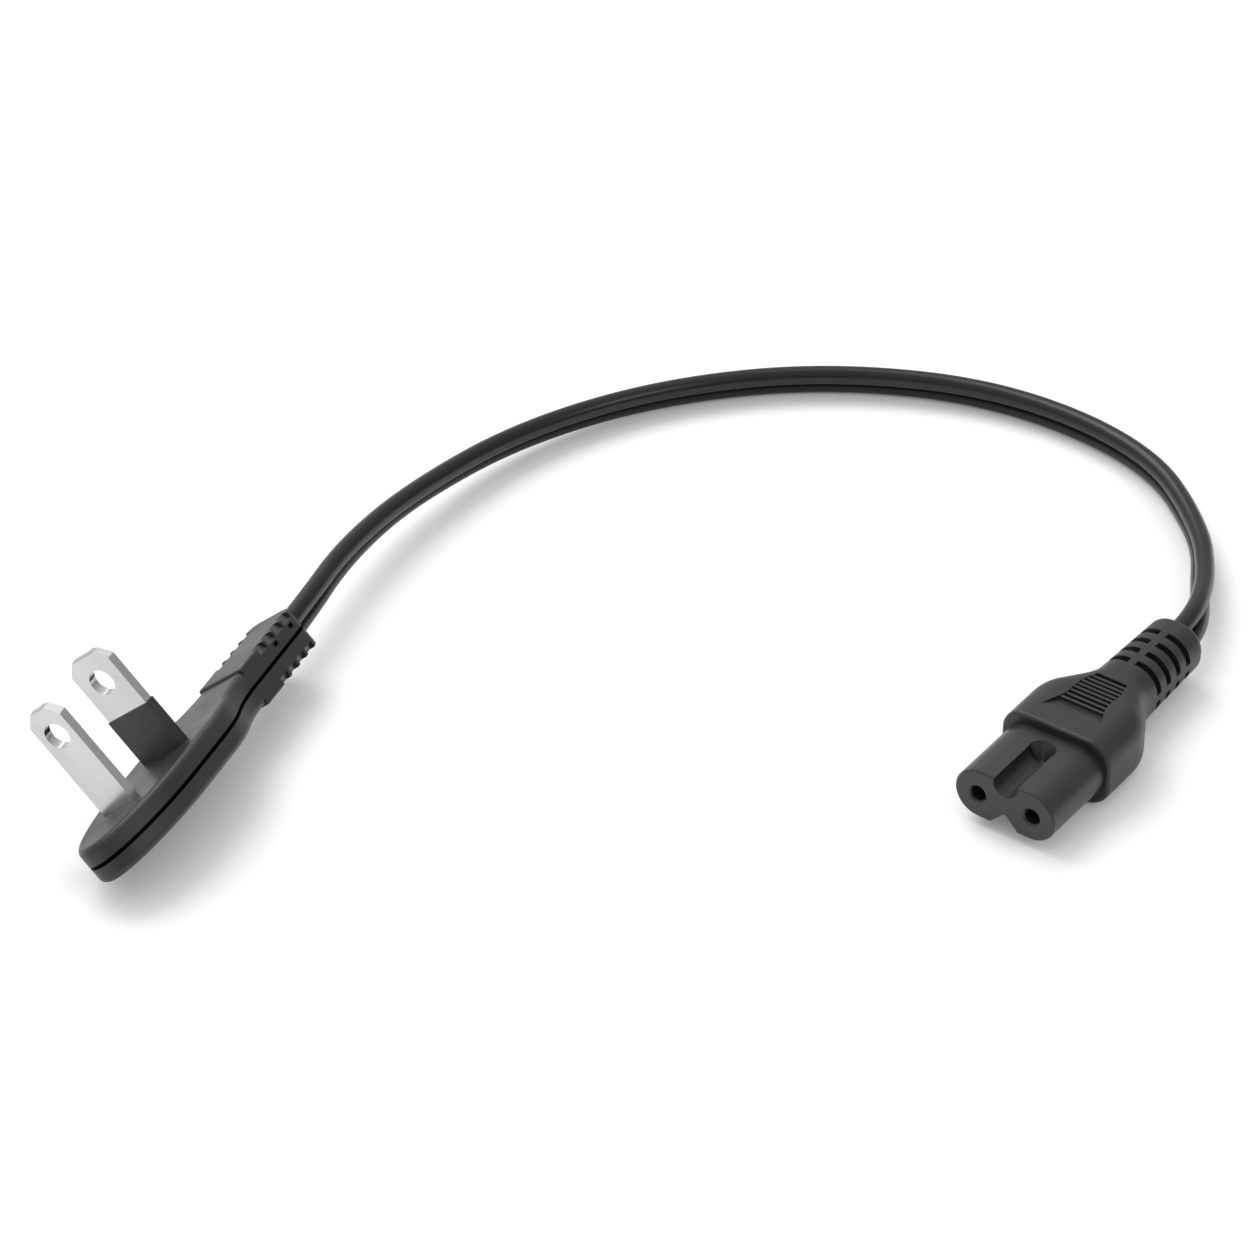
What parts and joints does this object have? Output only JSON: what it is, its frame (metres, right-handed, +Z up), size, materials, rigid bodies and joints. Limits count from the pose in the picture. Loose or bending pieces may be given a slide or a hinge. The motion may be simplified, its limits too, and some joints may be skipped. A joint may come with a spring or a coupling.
{
  "type": "power cord",
  "caption": "Short power cord: slim flat plug with polarised flat blades, arched light flex and a figure-eight appliance connector.",
  "frame": {"origin": "on the surface the cord lies on, below the middle of the box round the plug and the connector", "axes": "+Z up, +X from the plug towards the connector, +Y away from the viewer, towards the top of the cord's arch"},
  "size_m": [0.1656, 0.1249, 0.0234],
  "materials": {
    "shell": "fine satin moulding",
    "blade_metal": "bright nickel plate",
    "sleeve": "satin moulding",
    "flex": "smooth vinyl, slight sheen",
    "core": "inner insulation",
    "insert": "hard satin moulding",
    "grip": "soft satin moulding",
    "contact": "plain formed sheet"
  },
  "bodies": {
    "root": {"plug_front_half": "shell", "plug_back_half": "shell", "wide_blade": "blade_metal", "narrow_blade": "blade_metal", "blade_sleeve": "sleeve", "plug_core_wide": "core", "plug_core_narrow": "core", "cord": "flex", "connector_insert": "insert", "connector_grip": "grip", "contact_left": "contact", "contact_right": "contact", "connector_core_left": "core", "connector_core_right": "core"}
  },
  "joints": []
}
